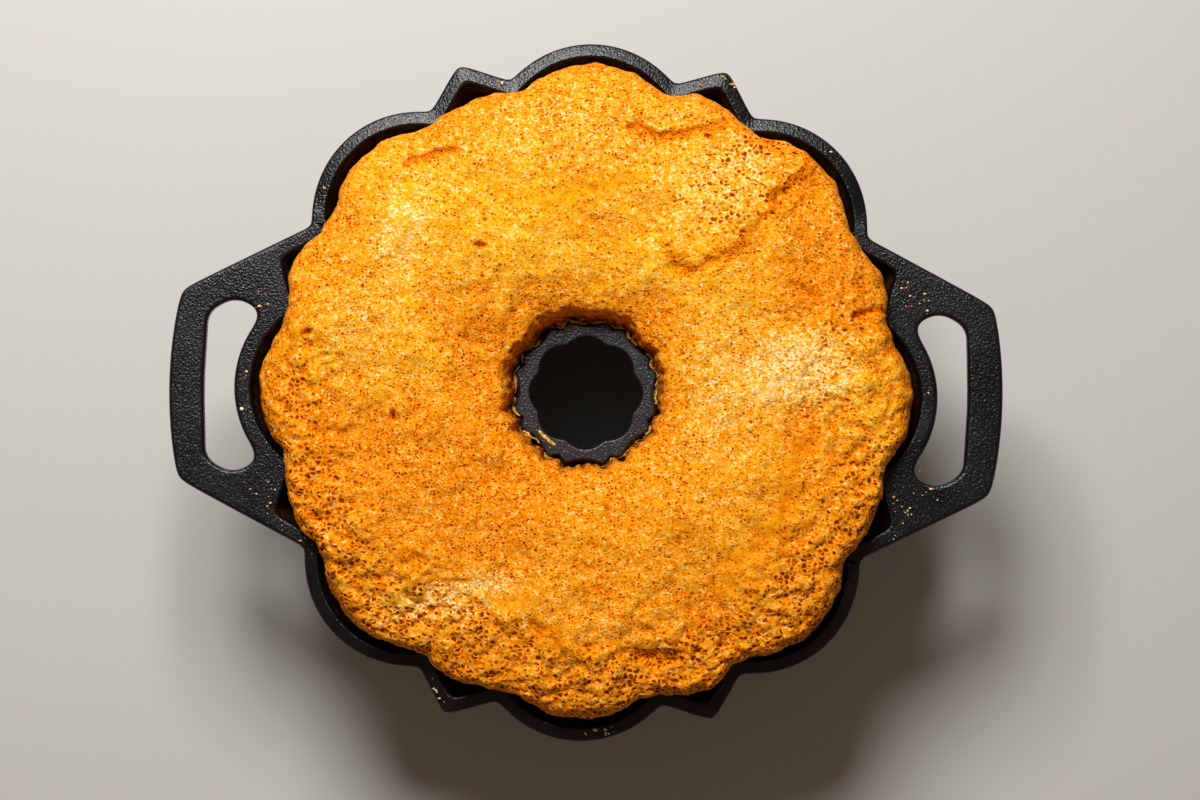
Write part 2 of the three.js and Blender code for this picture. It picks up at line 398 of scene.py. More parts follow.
def handle_blank(name, turn):
    curve = bpy.data.curves.new(name, "CURVE")
    curve.dimensions, curve.fill_mode = "2D", "BOTH"
    for loop in (-handle_outline(), -finger_gap()):
        spline = curve.splines.new("POLY")
        spline.points.add(len(loop) - 1)
        for point, (x, y) in zip(spline.points, loop):
            point.co = (x * MM, y * MM, 0, 1)
        spline.use_cyclic_u = True
    curve.extrude = (PLATE / 2 - HANDLE_ROUND) * MM
    curve.bevel_depth, curve.offset = HANDLE_ROUND * MM, -HANDLE_ROUND * MM
    curve.bevel_resolution = 3
    blank = new_piece(name, curve)
    mesh = bpy.data.meshes.new_from_object(blank.evaluated_get(bpy.context.evaluated_depsgraph_get()))
    mesh.transform(Matrix.Translation((0, 0, (RIM - PLATE / 2) * MM)) @ Matrix.Rotation(turn, 4, "Z"))
    shape = bmesh.new()
    shape.from_mesh(mesh)
    bmesh.ops.remove_doubles(shape, verts=shape.verts, dist=1e-6)
    bmesh.ops.recalc_face_normals(shape, faces=shape.faces)
    shape.to_mesh(mesh)
    print(name, "open edges:", sum(not e.is_manifold for e in shape.edges))
    shape.free()
    bpy.data.objects.remove(blank)
    return new_piece(name, mesh)


handles = [handle_blank("handle_left", 0), handle_blank("handle_right", math.pi)]
print("handle reaches", round(max(v.co.x for v in handles[1].data.vertices) / MM, 1), "mm")

# %% One casting


def joined(blank, others):
    """A new mesh: the blank united with the others."""
    for other in others:
        union = blank.modifiers.new("join", "BOOLEAN")
        union.operation, union.object, union.solver = "UNION", other, "MANIFOLD"
    return bpy.data.meshes.new_from_object(blank.evaluated_get(bpy.context.evaluated_depsgraph_get()))


pan_mesh = joined(bowl, handles)
for blank in [bowl, *handles]:
    bpy.data.objects.remove(blank)
pan = new_piece("fluted_pan", pan_mesh)
pan_mesh.name = "fluted_pan"
pan_mesh.shade_smooth()
pan_mesh.set_sharp_from_angle(angle=math.radians(40))
even = pan.modifiers.new("even_shading", "WEIGHTED_NORMAL")
even.keep_sharp, even.weight = True, 60
pan_triangles = sum(len(face.vertices) - 2 for face in pan_mesh.polygons)
print("pan", len(pan_mesh.vertices), "points,", pan_triangles, "triangles")


def place_arrays(mesh):
    """The points of a mesh in mm: x, y, z, distance from the axis, and angle."""
    flat = np.empty(len(mesh.vertices) * 3)
    mesh.vertices.foreach_get("co", flat)
    x, y, z = (flat.reshape(-1, 3) / MM).T
    return x, y, z, np.hypot(x, y), np.arctan2(y, x)


def store(mesh, name, values):
    """Keeps one value for each point of a mesh, for a material to read by name."""
    attribute = mesh.attributes.new(name, "FLOAT", "POINT")
    attribute.data.foreach_set("value", np.ascontiguousarray(values, np.float32))


def normal_arrays(mesh):
    """The normals at the points of a mesh: x, y, z."""
    flat = np.empty(len(mesh.vertices) * 3)
    mesh.vertices.foreach_get("normal", flat)
    return flat.reshape(-1, 3).T


# The faces of the cavity look towards the middle of the batter, and the rest of the pan looks away.
BATTER_RADIUS, BATTER_HEIGHT = 70, 60
PAINTED_LIGHT_DEPTH = (2.0, 0.2)  # below the tube's top, where the painted light starts and where it is full
PAINTED_LIGHT_RADIUS = (34, 36)  # where it ends, so that it stays on the tube
_, _, pz, pr, pa = place_arrays(pan_mesh)
nx, ny, nz = normal_arrays(pan_mesh)
looks_in = (nx * np.cos(pa) + ny * np.sin(pa)) * (BATTER_RADIUS - pr) + nz * (BATTER_HEIGHT - pz)
store(pan_mesh, "baked_on", step(looks_in, 0, 8) * step(RIM - pz, 0.2, 3))
# The tube's top is painted a lighter grey: painted light where the light reaches it.
near_top = step(pz, *[TUBE_HEIGHT - depth for depth in PAINTED_LIGHT_DEPTH])
store(pan_mesh, "painted_tube_light", near_top * (1 - step(pr, *PAINTED_LIGHT_RADIUS)))

# %% [markdown]
# ## Seasoned cast iron
# Sand-cast iron is baked with thin coats of oil until it is black. The skin keeps the grain of the
# sand, pebbles of about 1 mm, and its sheen is satin: light spreads over the pebbles and picks out
# their tops. Inside, batter has baked on as a brown film. The tube's top is painted a lighter grey,
# which is painted light. The grain is bump, as it is far finer than the mesh. The film and the
# painted light on the tube's top are further colours, and a value stored on the points says where
# each of them shows.

# %% Iron

iron, tree, shader = new_material("seasoned_cast_iron")
where = add_node(tree, "ShaderNodeTexCoord").outputs["Object"]
grain = add_node(tree, "ShaderNodeTexVoronoi", {"Vector": where, "Scale": per_metre(0.95)},
                 feature="SMOOTH_F1")
fine_grain = add_node(tree, "ShaderNodeTexNoise", {"Vector": where, "Scale": per_metre(0.55), "Detail": 3.0})
mottle = add_node(tree, "ShaderNodeTexNoise", {"Vector": where, "Scale": per_metre(22), "Detail": 4.0})
film_noise = add_node(tree, "ShaderNodeTexNoise", {"Vector": where, "Scale": per_metre(3.5), "Detail": 5.0,
                                                   "Roughness": 0.65})
baked_on = add_node(tree, "ShaderNodeAttribute", attribute_name="baked_on")
film = add_node(tree, "ShaderNodeMath", {0: film_noise.outputs["Fac"], 1: 0.16}, operation="ADD")
film = add_node(tree, "ShaderNodeMath", {0: film.outputs[0], 1: baked_on.outputs["Fac"]},
                operation="MULTIPLY")
film_mask = add_node(tree, "ShaderNodeValToRGB", {"Fac": film.outputs[0]},
                     stops=[(0.52, grey(0)), (0.68, grey(1))])
skin = add_node(tree, "ShaderNodeValToRGB", {"Fac": mottle.outputs["Fac"]},
                stops=[(0.3, linear("#0a0a0b")), (0.7, linear("#141315"))])
# Mix towards a lighter grey on the tube's top: painted light.
painted_tube_light = add_node(tree, "ShaderNodeAttribute", attribute_name="painted_tube_light")
skin = add_node(tree, "ShaderNodeMix", {"Factor": painted_tube_light.outputs["Fac"], 6: skin, 7: linear("#2b2a2d")},
                data_type="RGBA")
film_colour = add_node(tree, "ShaderNodeValToRGB", {"Fac": fine_grain.outputs["Fac"]},
                       stops=[(0.3, linear("#160b05")), (0.6, linear("#452208")), (0.72, linear("#a06a22"))])
colour = add_node(tree, "ShaderNodeMix", {"Factor": film_mask.outputs["Color"], 6: skin,
                                          7: film_colour.outputs["Color"]}, data_type="RGBA")
height = add_node(tree, "ShaderNodeMath", {0: grain.outputs["Distance"], 1: fine_grain.outputs["Fac"]},
                  operation="SUBTRACT")
bump = add_node(tree, "ShaderNodeBump", {"Height": height.outputs[0], "Strength": 0.65, "Distance": 0.3 * MM})
shine = add_node(tree, "ShaderNodeMapRange", {"Value": mottle.outputs["Fac"], "From Min": 0.3,
                                              "From Max": 0.7, "To Min": 0.22, "To Max": 0.3})
tree.links.new(colour.outputs[2], shader.inputs["Base Color"])
tree.links.new(shine.outputs[0], shader.inputs["Roughness"])
tree.links.new(bump.outputs[0], shader.inputs["Normal"])
shader.inputs["IOR"].default_value = 1.45
pan_mesh.materials.clear()
pan_mesh.materials.append(iron)
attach(pan, "root")
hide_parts("cast_iron_pan")
print("pan finished with", iron.name)

# %% [markdown]
# ## The cake's outline and crown
# The batter climbed the wall, rose over the rim and set, then shrank a little as it cooled. So the
# edge keeps the shape of the flutes, with a narrow gap at each one, and still touches the ridges.
# Above it the crown is steep at both edges and nearly level between them.

# %% Cake outline

CLEAR = 0.4  # between cake and iron where they touch
ROUND_SHRINK = 2.9
POINT_BULGE = 3.2  # how far the cake bulges between two ridges, into a pointed flute
RIDGE_OVERLAP = 0.9  # of the crown on the rim, at a ridge


def cake_edge(angle):
    """The cake's edge at the rim. It has drawn in from the flutes and still meets the ridges."""
    from_round = turn_from_round(angle)
    valley = float(outline(RIDGE_TURN, RIM_BAND)) + RIDGE_OVERLAP
    uneven = 0.8 * np.sin(3 * angle + 0.4) + 0.9 * step(-np.cos(angle), 0.3, 1.0)
    drawn_in = outline(angle, RIM_BAND) - CLEAR - (ROUND_SHRINK + uneven)
    in_point = np.clip((HALF_PITCH - from_round) / (HALF_PITCH - RIDGE_TURN), 0, 1)
    bulge = valley + (POINT_BULGE + 1.5 * np.sin(5 * angle + 1)) * (1 - in_point**2)
    meeting = (drawn_in + valley + np.hypot(drawn_in - valley, 1.5)) / 2
    edge = np.where(from_round < RIDGE_TURN, meeting, bulge)
    ragged = 0.35 * np.sin(37 * angle) + 0.25 * np.sin(61 * angle + 1.3) + 0.2 * np.sin(97 * angle + 0.5)
    return edge + ragged


def cake_foot(angle):
    """Where the crust comes down round the tube, just clear of the iron."""
    ragged = 0.45 * np.sin(11 * angle + 2) + 0.35 * np.sin(23 * angle) + 0.3 * np.sin(47 * angle + 1)
    return TUBE_RADIUS + 0.75 * TUBE_FLUTE_SHARE * flute_depth(angle) + 1.8 + ragged


def lip_slope(angle):
    """Width of the slope from there up to the crown: wide at the back left, steep at the right."""
    ragged = 0.5 * np.sin(7 * angle) + 0.3 * np.sin(19 * angle + 1)
    return 4.0 + 1.6 * np.sin(angle) - 1.9 * np.cos(angle) + ragged


# %% Cake rows

CROWN = cake_high.z / MM - RIM - 3.6
EDGE_HEIGHT, FOOT_HEIGHT = 0.5, -3.5  # of the crown's two edges, from the rim
TRIANGLE_SIDE = 0.86
CROWN_ROWS = 150
HIDDEN_COUNT = 256


def rise(distance, width):
    """A quarter round that climbs from 0 to 1 over a width."""
    t = np.clip(distance / width, 0, 1)
    return np.sqrt(1 - (1 - t) ** 2)


def crown_height(radius, angle):
    edge, foot, slope = cake_edge(angle), cake_foot(angle), lip_slope(angle)
    at_edge = 0.42 * rise(edge - radius, 6) + 0.58 * rise(133 - radius, 42)
    at_lip = 0.38 * step(radius, foot - 0.5, foot + slope) + 0.62 * rise(radius - 31, 44)
    low = EDGE_HEIGHT + (FOOT_HEIGHT - EDGE_HEIGHT) * (1 - step(radius, foot, foot + 3))
    return low + CROWN * at_edge * at_lip


def crown_row(share):
    def row(angle):
        edge, foot = cake_edge(angle), cake_foot(angle)
        radius = edge + (foot - edge) * share
        return radius, RIM + crown_height(radius, angle)

    return row


def wall_row(share):
    """A row against the iron. It keeps the gap at the rim."""
    plain = section_row(share, CLEAR)
    at_rim, at_tube = max(0, 1 - share / 0.2), max(0, 1 - (1 - share) / 0.05)

    def row(angle):
        radius, height = plain(angle)
        at_edge = radius + at_rim * np.minimum(cake_edge(angle) - outline(angle, RIM_BAND) + CLEAR, 0)
        return at_edge + at_tube * 0.9, height

    return row


# Rows are close together at the two steep edges and evenly spaced between them.
along = np.linspace(0, 1, CROWN_ROWS)
crown_shares = along - 0.05 * np.sin(2 * math.pi * along)
outer_shares = [0.5, 0.45, 0.4, 0.35, 0.3, 0.25, 0.2, 0.15, 0.11, 0.08, 0.055, 0.035, 0.02, 0.008]
tube_shares = [0.965, 0.95, 0.93, 0.9, 0.86, 0.8, 0.74, 0.68, 0.6, 0.55]
rows, counts = [], []
for share in outer_shares:
    rows.append(wall_row(share))
    counts.append(960 if share < 0.05 else HIDDEN_COUNT * 2 if share < 0.12 else HIDDEN_COUNT)
for share in crown_shares:
    rows.append(crown_row(share))
    counts.append(int(2 * math.pi * (133 - 100 * share) / TRIANGLE_SIDE))
for share in tube_shares:
    rows.append(wall_row(share))
    counts.append(HIDDEN_COUNT if share > 0.9 else HIDDEN_COUNT // 2)
cake_mesh = ring_mesh("risen_cake", rows, counts)

# %% [markdown]
# ## The relief of the crust
# A foam crust is never smooth. It swells and sinks over a hand's width, wrinkles where it slid, tears
# into small ledges, and has a few holes where big bubbles broke. Each of those is one simple rule that
# adds a height, and the rules are summed over all the points. Sizes are in millimetres.

# %% Rules for the relief

SWELLS = [(46, 1.7), (19, 1.1), (9, 0.4), (4.5, 0.15)]  # width and height of the lumps
TUFT_HEIGHT = 3.6  # of the tufts round the edge, 5 to 10 mm wide
CREASES = [  # the line of a crease, then its depth and half width
    ([(-73, 91), (-63, 94), (-53, 97)], 1.7, 1.5),
    ([(16, 107), (22, 104), (28, 103), (40, 106), (53, 109)], 1.6, 1.8),
    ([(-15, 81), (-6, 83), (1, 81)], 0.7, 1.6),
    ([(81, 45), (87, 43), (93, 41)], 1.2, 1.2),
    ([(23, -105), (31, -107), (40, -106)], 2.0, 2.0),
    ([(-62, -88), (-54, -88)], 1.1, 1.4),
    ([(-71, -66), (-61, -68)], 1.1, 1.5),
    ([(-54, -76), (-46, -77)], 0.9, 1.3),
    ([(-4, -68), (4, -70)], 0.8, 1.6),
    ([(5, -79), (11, -80)], 0.9, 1.5),
    ([(-20, -94), (-14, -95)], 1.1, 1.5),
    ([(-118, 14), (-108, 18)], 0.9, 1.5),
    ([(108, 34), (122, 36)], 2.2, 1.2),
    ([(85, 88), (78, 83), (73, 77)], 1.2, 2.8),
    ([(33, 59), (37, 52), (42, 50), (50, 54), (57, 57)], 0.7, 1.6),
]
LEDGE = [(88, 92), (79, 84), (72, 77), (66, 71), (58, 58), (50, 54), (41, 50), (35, 54), (31, 61)]
LEDGE_HEIGHT, LEDGE_RUN, LEDGE_SOFTNESS = 1.3, 22, 3.6
HOLES = [((-43, 58), (2.1, 1.3)), ((-77, -11), (1.1, 2.2)), ((47, 104), (1.3, 1.0)), ((-112, 22), (1.4, 1.1))]
HOLE_DEPTH = 3.5


def sample(rule, points):
    """A noise rule at each of the points."""
    return np.array([rule(Vector(p)) for p in points])


def from_line(x, y, line):
    """Distance to a line of points, and on which side of it, + to the left."""
    best, side = np.full(x.shape, 1e9), np.ones(x.shape)
    for (ax, ay), (bx, by) in zip(line, line[1:]):
        dx, dy = bx - ax, by - ay
        t = np.clip(((x - ax) * dx + (y - ay) * dy) / (dx * dx + dy * dy), 0, 1)
        away = np.hypot(x - ax - t * dx, y - ay - t * dy)
        nearer = away < best
        left = np.where(dx * (y - ay) - dy * (x - ax) > 0, 1.0, -1.0)
        best, side = np.where(nearer, away, best), np.where(nearer, left, side)
    return best, side


def blob(x, y, centre, size, turn=0.0):
    """1 at the centre of a soft oval and 0 outside it."""
    c, s = math.cos(math.radians(turn)), math.sin(math.radians(turn))
    dx, dy = x - centre[0], y - centre[1]
    u, v = (dx * c + dy * s) / size[0], (dy * c - dx * s) / size[1]
    return np.exp(-(u * u + v * v))


# %% Raise the relief

cx, cy, cz, cr, ca = place_arrays(cake_mesh)
crown = step(cz, RIM + 0.5, RIM + 9)
spots = np.stack([cx, cy, cz * 0.5], 1)
relief = np.zeros(len(cx))
for width, tall in SWELLS:
    relief += tall * 1.7 * sample(noise.noise, spots / width)
streaks = np.stack([np.cos(ca) * 5.5, np.sin(ca) * 5.5, cr / 7.5], 1)
relief += 0.25 * sample(noise.noise, streaks)
near_edge = step(cr, 84, 112) * step(0.35 * cr - cy, -20, 80) + 0.35
tufts = np.abs(sample(noise.noise, spots / 10 + 5)) + 0.5 * np.abs(sample(noise.noise, spots / 5.5 + 9))
relief += TUFT_HEIGHT * (tufts - 0.3) * np.clip(near_edge, 0, 1)
hollows = np.clip(-relief, 0, 3) + 3.2 * step(0.22 - tufts, 0, 0.2) * np.clip(near_edge, 0, 1)
wobble = 2.2 * sample(noise.noise, spots / 6)
crease_shade = np.zeros(len(cx))
for line, deep, half_width in CREASES:
    away, _ = from_line(cx + wobble, cy + wobble, line)
    valley = np.exp(-((away / half_width) ** 2))
    relief -= deep * valley
    crease_shade = np.maximum(crease_shade, valley * deep / 2)
away, side = from_line(cx + wobble, cy - wobble, LEDGE)
upper = -side * away  # positive on the raised side
fall = np.exp(-np.maximum(upper, 0) / LEDGE_RUN)
relief += LEDGE_HEIGHT * step(upper, -LEDGE_SOFTNESS, LEDGE_SOFTNESS) * fall
crease_shade = np.maximum(crease_shade, 0.5 * np.exp(-(((upper + 1) / 3) ** 2)))
hole_shade = np.zeros(len(cx))
for (hx, hy), (half_x, half_y) in HOLES:
    sunk = np.exp(-((((cx - hx) / half_x) ** 2 + ((cy - hy) / half_y) ** 2) ** 1.5))
    relief -= HOLE_DEPTH * sunk
    hole_shade = np.maximum(hole_shade, sunk)
flat = np.stack([cx, cy, cz + relief * crown], 1) * MM
cake_mesh.vertices.foreach_set("co", flat.ravel())
cake_mesh.update()
print("relief from", round(relief.min(), 1), "to", round(relief.max(), 1), "mm")

# %% [markdown]
# ## Pores in the mesh
# Bubbles that broke at the surface left pits. The widest, over about 1.5 mm, are cut into the mesh
# along its normals, more of them where the crust is coarse. Finer ones are left to the material.
# Values such as where the crust is coarse or pale are stored on the points for the material to use.

# %% Pores

coarse = np.maximum.reduce([
    blob(cx, cy, (60, 86), (30, 17), 35),
    0.8 * blob(cx, cy, (-38, -100), (48, 15), -28),
    0.6 * blob(cx, cy, (-115, 0), (12, 30)),
    0.6 * blob(cx, cy, (60, -95), (50, 14), 32),
    0.5 * blob(cx, cy, (100, 12), (22, 34)),
    0.75 * step(cr, 92, 116) * step(-cy, -30, 50),
])
normals = np.stack(normal_arrays(cake_mesh), 1)
now = flat / MM
cells = sample(lambda p: noise.voronoi(p)[0][0], now / 3.4)
small_cells = sample(lambda p: noise.voronoi(p)[0][0], now / 2.1 + 7)
pit_room = 0.5 + 0.5 * sample(noise.noise, now / 6 + 3)
pits = 0.75 * step(0.30 * pit_room + 0.14 * coarse - cells, -0.05, 0.10)
pits += 0.6 * step(0.12 + 0.22 * coarse + 0.1 * pit_room - small_cells, -0.06, 0.10)
grains = 0.22 * sample(noise.noise, now / 1.9) + 0.12 * sample(noise.noise, now / 1.1)
visible = step(now[:, 2], RIM - 14, RIM - 4)
torn = visible * step(48 - cr, 8, 15) * step(RIM + 14 - now[:, 2], 0, 10)
rough = grains - pits + torn * 1.1 * sample(noise.noise, now / 3.1)
now = now + normals * (rough * visible)[:, None]
cake_mesh.vertices.foreach_set("co", (now * MM).ravel())
cake_mesh.update()
print("pits over", round(100 * float((pits > 0.3).mean())), "% of the points")

# %% [markdown]
# ## Brown crust, painted shade, pale patches and tears
# Hollows, creases and steep places are given a darker, redder colour: that is painted shade. The low
# edge is browner. Broad regions are added to that, some browner and some less brown, as an oven never
# heats evenly. Pale patches are real, and keeping them to the flatter places is painted light. Along a
# few smooth tears the pores are weaker. Each of these is one value a point.

# %% Shade values for the crust

height_now = now[:, 2]
BROWNED = [  # how brown, where its middle is, and its half length and half width
    (0.75, (104, 56), (30, 30)), (0.5, (-108, -38), (22, 26)), (-0.3, (-10, -104), (44, 10)),
    (0.2, (-30, 10), (30, 34)), (0.4, (0, -95), (90, 38)), (0.9, (-50, -38), (40, 26)),
    (0.35, (96, -52), (28, 34)), (-0.4, (-50, 66), (52, 40)), (-0.3, (15, 78), (50, 22)),
    (-0.6, (84, 10), (34, 24)), (-0.3, (-10, -76), (40, 12)), (-0.6, (15, 50), (46, 18)),
    (-0.4, (-66, 8), (38, 16)), (-0.4, (112, -4), (16, 34)), (-0.35, (-60, -86), (28, 12)),
    (0.3, (-95, 52), (16, 20)), (0.5, (-56, 104), (18, 12)),
]
# Hollows and creases get the toasted colour as painted shade; the BROWNED regions, the low edge and the ring
# round the tube are browner crust.
toast_and_shade = 0.34 * hollows + 1.3 * crease_shade + 0.15 * np.exp(-(((cr - 34) / 9) ** 2))
toast_and_shade += 0.35 * (1 - step(height_now, RIM + 3, RIM + 14))
# Steep sides get the toasted colour too: painted shade.
toast_and_shade += 1.3 * np.clip(0.97 - normals[:, 2], 0, 0.35)
for amount, middle, size in BROWNED:
    toast_and_shade += amount * blob(cx, cy, middle, size)
SMOOTH_TEARS = [
    [(90, -17), (83, -29), (81, -45), (71, -58), (61, -68), (56, -79)],
    [(-45, -84), (-25, -82), (-8, -99)],
    [(-73, 80), (-74, 68), (-77, 58)],
    [(-40, 84), (-14, 76), (20, 88)],
]
smooth = np.zeros(len(cx))
for line in SMOOTH_TEARS:
    away, _ = from_line(cx + 2 * wobble, cy + 2 * wobble, line)
    smooth = np.maximum(smooth, np.exp(-((away / 3.5) ** 2)))
cream = np.clip(
    1.3 * blob(cx, cy, (88, 11), (19, 13), 10) + 1.6 * blob(cx, cy, (-51, -83), (20, 6), 14)
    + 0.95 * blob(cx, cy, (-75, 65), (8, 15), -12) + 0.2 * blob(cx, cy, (-20, 105), (60, 18))
    + 0.2 * blob(cx, cy, (-90, 25), (20, 26)) + 0.5 * blob(cx, cy, (56, 88), (28, 16), 35)
    + 0.35 * blob(cx, cy, (52, 4), (16, 30)) + 0.2 * blob(cx, cy, (-20, -90), (46, 8), -8), 0, 1)
# Pale patches are taken off steep faces, where they would sit in shade: painted light.
cream *= 1 - step(0.97 - normals[:, 2], 0.0, 0.1)
side_wall = 1 - step(height_now, RIM - 2, RIM + 7)
# deep darkens pits, holes and creases: painted shade, with the pores' own darker colour in the pits.
for name, values in {"toast_and_shade": toast_and_shade, "cream": cream, "smooth": smooth, "coarse": coarse,
                     "deep": np.clip(0.8 * pits + hole_shade + 0.6 * crease_shade, 0, 1),
                     "side_wall": side_wall}.items():
    store(cake_mesh, name, values)
cake_mesh.shade_smooth()
cake = new_piece("angel_food_cake", cake_mesh)

# %% [markdown]
# ## A browned foam crust
# The top of an angel food cake is a dry skin of egg white and sugar that has coloured in the oven:
# gold where it is thin, toasted orange where it is thick, and almost white on the webs that stand
# proud. It is matte, with almost no gloss. Broken bubbles make dark pores, so the pattern is Voronoi
# cells in two sizes, 1.45 mm and, where the crust is coarse, 2.3 mm. A cell's middle is the pore and
# its border is the web. Each cell gets its own depth from its own random colour, because pores that
# are all alike look like a sponge. A noise of about 1 mm breaks the pale patches into flecks.

# %% Crust: bubbles

crust, tree, shader = new_material("browned_foam_crust")
stored = {name: add_node(tree, "ShaderNodeAttribute", attribute_name=name)
          for name in ("toast_and_shade", "cream", "smooth", "coarse", "deep", "side_wall")}
place = add_node(tree, "ShaderNodeTexCoord").outputs["Object"]
drawn = add_node(tree, "ShaderNodeVectorMath", {0: place, 1: (1.0, 1.25, 1.0)}, operation="MULTIPLY")
bend = add_node(tree, "ShaderNodeTexNoise", {"Vector": drawn, "Scale": per_metre(1.7), "Detail": 2.0})
bend = add_node(tree, "ShaderNodeVectorMath", {0: bend.outputs["Color"], 1: (0.5, 0.5, 0.5)},
                operation="SUBTRACT")
bend = add_node(tree, "ShaderNodeVectorMath", {0: bend, "Scale": 1.9 * MM}, operation="SCALE")
bent = add_node(tree, "ShaderNodeVectorMath", {0: drawn, 1: bend}, operation="ADD")

bubbles = {}
for size, cell_mm, deepest in (("small", 1.45, 0.62), ("large", 2.3, 1.0)):
    pattern = {"Vector": bent, "Scale": per_metre(cell_mm)}
    cell = add_node(tree, "ShaderNodeTexVoronoi", pattern)
    border = add_node(tree, "ShaderNodeTexVoronoi", pattern, feature="DISTANCE_TO_EDGE")
    own = add_node(tree, "ShaderNodeSeparateColor", {"Color": cell.outputs["Color"]})
    depth = add_node(tree, "ShaderNodeMapRange", {"Value": own, "From Min": 0.15, "From Max": 0.95,
                                                  "To Max": deepest})
    inside = add_node(tree, "ShaderNodeMapRange", {"Value": border, "From Min": 0.05, "From Max": 0.32},
                      interpolation_type="SMOOTHSTEP")
    bubbles["pore", size] = add_node(tree, "ShaderNodeMath", {0: inside, 1: depth}, operation="MULTIPLY")
    bubbles["web", size] = add_node(tree, "ShaderNodeMath", {0: 1.0, 1: inside}, operation="SUBTRACT")
wide_here = add_node(tree, "ShaderNodeMapRange", {"Value": stored["coarse"], "From Min": 0.1, "From Max": 0.6,
                                                  "To Min": 0.12, "To Max": 1.0})
pores, webs = [add_node(tree, "ShaderNodeMix", {"Factor": wide_here, "A": bubbles[part, "small"],
                                                "B": bubbles[part, "large"]}) for part in ("pore", "web")]

# %% Crust: tone

mottling = {}
for name, size_mm, vector in (("grain", 1.05, bent), ("flakes", 2.6, drawn), ("blotches", 6.0, drawn),
                              ("patches", 19.0, place)):
    mottling[name] = add_node(tree, "ShaderNodeTexNoise", {"Vector": vector, "Scale": per_metre(size_mm),
                                                           "Detail": 3.0, "Roughness": 0.6})
fleck = add_node(tree, "ShaderNodeMapRange", {"Value": mottling["grain"], "From Min": 0.42, "From Max": 0.6})
mottling["flecks"] = add_node(tree, "ShaderNodeMath", {0: fleck, 1: stored["cream"]}, operation="MULTIPLY")
SUMS = {  # a value to start from, then what is added to it and how much of each
    "browning": (-0.33, (mottling["blotches"], 0.7), (mottling["patches"], 1.0), (stored["toast_and_shade"], 0.8),
                 (stored["cream"], -0.45)),
    "bubbles": (-1.10, (mottling["grain"], 1.3), (mottling["flakes"], 1.0), (pores, -0.85), (webs, 0.16),
                (mottling["flecks"], 0.5)),
    "height": (0.0, (mottling["grain"], 0.8), (mottling["flakes"], 0.8), (webs, 0.2), (pores, -1.0)),
}
sums = {}
for name, (total, *parts) in SUMS.items():
    for source, weight in parts:
        total = add_node(tree, "ShaderNodeMath", {0: source, 1: weight, 2: total}, operation="MULTIPLY_ADD")
    sums[name] = total
strength = add_node(tree, "ShaderNodeMapRange", {"Value": stored["smooth"], "To Min": 1.0, "To Max": 0.6})
tone = add_node(tree, "ShaderNodeMath", {0: sums["bubbles"], 1: strength, 2: 0.47}, operation="MULTIPLY_ADD")
# Pits, holes and creases are darkened here: painted shade.
tone = add_node(tree, "ShaderNodeMath", {0: stored["deep"], 1: -0.35, 2: tone}, operation="MULTIPLY_ADD")
gold = add_node(tree, "ShaderNodeValToRGB", {"Fac": tone}, stops=[
    (0.0, linear("#a84600")), (0.17, linear("#e07202")), (0.45, linear("#fba606")), (0.68, linear("#fdb920")),
    (0.85, linear("#fed076")), (0.97, linear("#ffe8b4"))])
toasted = add_node(tree, "ShaderNodeValToRGB", {"Fac": tone}, stops=[
    (0.0, linear("#7c2800")), (0.17, linear("#b24400")), (0.47, linear("#ea7a02")), (0.68, linear("#f69a14")),
    (0.85, linear("#fcb448")), (0.97, linear("#fedc9c"))])
top_colour = add_node(tree, "ShaderNodeMix", {"Factor": sums["browning"], 6: gold, 7: toasted},
                      data_type="RGBA")
wall_colour = add_node(tree, "ShaderNodeValToRGB", {"Fac": mottling["flakes"]}, stops=[
    (0.35, linear("#3d1a05")), (0.5, linear("#8a4509")), (0.66, linear("#dc9a35"))])
colour = add_node(tree, "ShaderNodeMix", {"Factor": stored["side_wall"], 6: top_colour, 7: wall_colour},
                  data_type="RGBA")
bump = add_node(tree, "ShaderNodeBump", {"Height": sums["height"], "Strength": 0.45, "Distance": 0.45 * MM})
tree.links.new(colour.outputs["Result"], shader.inputs["Base Color"])
tree.links.new(bump.outputs[0], shader.inputs["Normal"])
shader.inputs["Roughness"].default_value = 0.7
shader.inputs["Specular IOR Level"].default_value = 0.02
cake_mesh.materials.append(crust)
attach(cake, "root")
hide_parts("ring_cake")
print("cake finished with", crust.name)

# %% [markdown]
# ## Crumbs and torn crust
# Lifting the pan about leaves crumbs on the handles and the rim, and the crust tears in shreds where
# it stuck to the tube. Each crumb is a small lump with a rough skin. All the crumbs are one piece and
# all the shreds another, so they stay easy to select. A fixed seed gives the same litter every time.
# The shreds wear the crust's own material. Their stored values make it paler, and a third of the way
# to the brown of the cake's side.

# %% Crumbs

CRUMB_DRIFTS = [  # centre of a drift in mm, how far it spreads, and how many crumbs are in it
    ((-133, 36), 9, 6), ((-139, 5), 3, 3), ((-138, -11), 4, 3), ((-128, -42), 8, 8), ((-124, -52), 6, 4),
    ((133, 40), 9, 12), ((127, 46), 4, 4), ((125, -47), 9, 16), ((142, -36), 5, 4), ((137, -30), 3, 2),
    ((139, 3), 2.5, 2), ((-68, 110), 5, 6), ((-41, 123), 6, 7), ((46, 124), 8, 7), ((-109, 80), 4, 3),
    ((-113, -65), 5, 4), ((12, -140), 9, 12), ((-62, -125), 7, 6), ((60, 128), 4, 3), ((98, 100), 4, 3),
]
# The flat top of a handle, just inside its rounded edges and clear of its gap.
GAP_FROM, GAP_TO, GAP_HALF_WIDTH, GRIP_TO = 137, 157.5, 36, 165
SIDE_NORMAL, SIDE_DISTANCE = (0.454, 0.891), 108  # of the handle's slanting side


